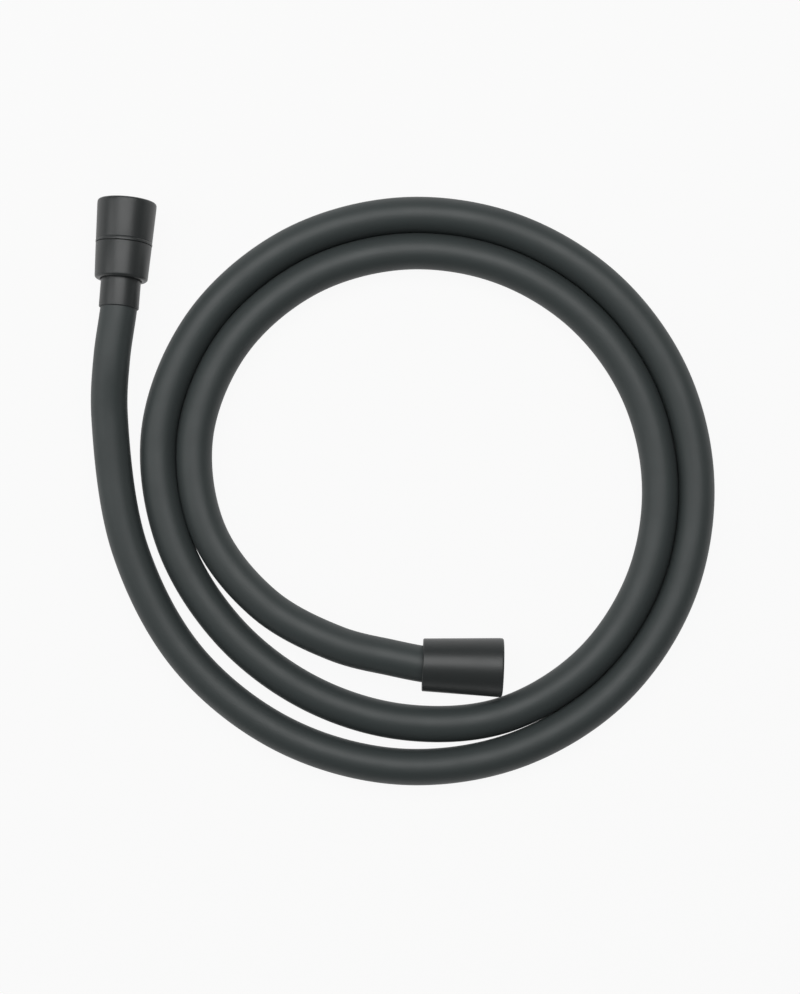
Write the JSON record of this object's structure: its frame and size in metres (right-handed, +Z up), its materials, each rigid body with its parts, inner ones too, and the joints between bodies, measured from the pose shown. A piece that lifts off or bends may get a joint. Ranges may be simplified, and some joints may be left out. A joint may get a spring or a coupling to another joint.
{
  "type": "shower hose",
  "caption": "Smooth matt black shower hose lying in flat loops, with a conical swivel fitting on one end and a plain cone nut on the other.",
  "frame": {"origin": "on the surface that the hose lies on, midway between the outer limits of the two end fittings in plan; the hose tube itself is a flexible cord and isn't counted in this", "axes": "+Z up from that surface; +Y across the loops towards the swivel fitting's mouth, the longest extent of the fittings; +X towards the cone nut's mouth"},
  "size_m": [0.2487, 0.2348, 0.0248],
  "materials": {
    "hose": "matt black PVC",
    "coated_brass": "matt black coating on brass",
    "brass": "turned, bare",
    "rubber": "matt black",
    "spring_steel": "bright"
  },
  "bodies": {
    "hose": {"hose_tube": "hose", "swivel_collar": "coated_brass", "swivel_housing": "brass", "swivel_ferrule": "coated_brass", "cone_washer": "rubber", "cone_tail": "brass", "cone_ferrule": "coated_brass"},
    "spigot": {"swivel_spigot": "brass", "spigot_o_ring_front": "rubber", "spigot_o_ring_rear": "rubber", "snap_ring": "spring_steel", "swivel_washer": "rubber"},
    "swivel_nut": {"swivel_nut": "coated_brass"},
    "cone_nut": {"cone_nut": "coated_brass"}
  },
  "joints": [
    {"name": "spigot_swivel", "type": "hinge", "parent": "hose", "child": "spigot", "pos_m": [-0.06982, 0.07997, 0.01323], "axis": [0.0678, 0.9939, -0.0872], "continuous": true},
    {"name": "swivel_nut_turn", "type": "hinge", "parent": "spigot", "child": "swivel_nut", "pos_m": [-0.06921, 0.08891, 0.01244], "axis": [0.0678, 0.9939, -0.0872], "continuous": true},
    {"name": "cone_nut_turn", "type": "hinge", "parent": "hose", "child": "cone_nut", "pos_m": [0.06881, -0.08696, 0.01177], "axis": [0.9993, -0.0366, 0], "continuous": true}
  ]
}
